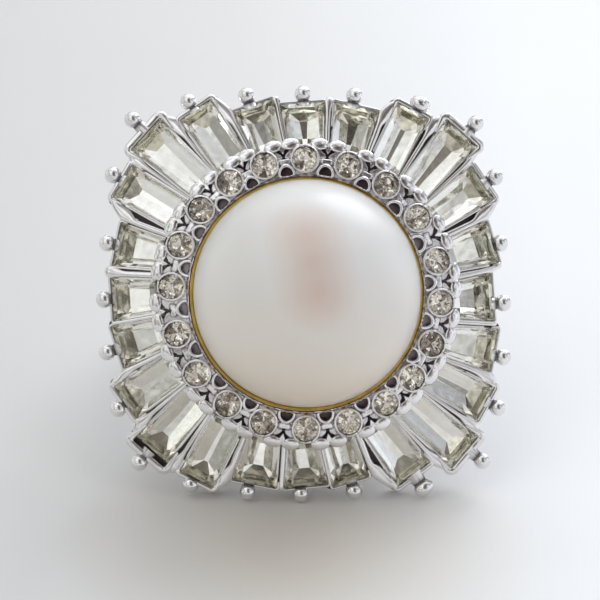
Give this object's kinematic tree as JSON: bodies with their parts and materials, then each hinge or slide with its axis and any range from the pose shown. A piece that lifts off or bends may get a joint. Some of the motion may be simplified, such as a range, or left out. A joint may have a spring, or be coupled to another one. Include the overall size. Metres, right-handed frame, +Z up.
{
  "type": "cocktail ring",
  "caption": "Finger ring with a domed pearl in a cup, a cast halo of small round stones and a squared skirt of tapered baguette stones held by ball-tipped pins.",
  "frame": {"origin": "on the surface the ring lies on, under the middle of the ring's box", "axes": "+Z up, -Y the way the head faces, 28.5 degrees above the level, +X across the head, level, and square to the finger bore"},
  "size_m": [0.0292, 0.031, 0.0258],
  "materials": {
    "silver_tone_metal": "bright rhodium-tone plate over cast base metal, polished",
    "gold_tone_metal": "gold-tone plate, polished",
    "cement": "set cement",
    "pearl_coating": "pearlescent coating with a soft gloss",
    "clear_glass": "clear cut glass with a silvered back"
  },
  "bodies": {
    "root": {"shank": "silver_tone_metal", "under_gallery": "silver_tone_metal", "baguette_frame": "silver_tone_metal", "ball_pins": "silver_tone_metal", "halo_collar": "silver_tone_metal", "pearl_cup": "gold_tone_metal", "cement_pad": "cement", "pearl": "pearl_coating", "baguette_000": "clear_glass", "baguette_015": "clear_glass", "baguette_030": "clear_glass", "baguette_045": "clear_glass", "baguette_060": "clear_glass", "baguette_075": "clear_glass", "baguette_090": "clear_glass", "baguette_105": "clear_glass", "baguette_120": "clear_glass", "baguette_135": "clear_glass", "baguette_150": "clear_glass", "baguette_165": "clear_glass", "baguette_180": "clear_glass", "baguette_195": "clear_glass", "baguette_210": "clear_glass", "baguette_225": "clear_glass", "baguette_240": "clear_glass", "baguette_255": "clear_glass", "baguette_270": "clear_glass", "baguette_285": "clear_glass", "baguette_300": "clear_glass", "baguette_315": "clear_glass", "baguette_330": "clear_glass", "baguette_345": "clear_glass", "round_stone_01": "clear_glass", "round_stone_02": "clear_glass", "round_stone_03": "clear_glass", "round_stone_04": "clear_glass", "round_stone_05": "clear_glass", "round_stone_06": "clear_glass", "round_stone_07": "clear_glass", "round_stone_08": "clear_glass", "round_stone_09": "clear_glass", "round_stone_10": "clear_glass", "round_stone_11": "clear_glass", "round_stone_12": "clear_glass", "round_stone_13": "clear_glass", "round_stone_14": "clear_glass", "round_stone_15": "clear_glass", "round_stone_16": "clear_glass", "round_stone_17": "clear_glass", "round_stone_18": "clear_glass", "round_stone_19": "clear_glass", "round_stone_20": "clear_glass"}
  },
  "joints": []
}
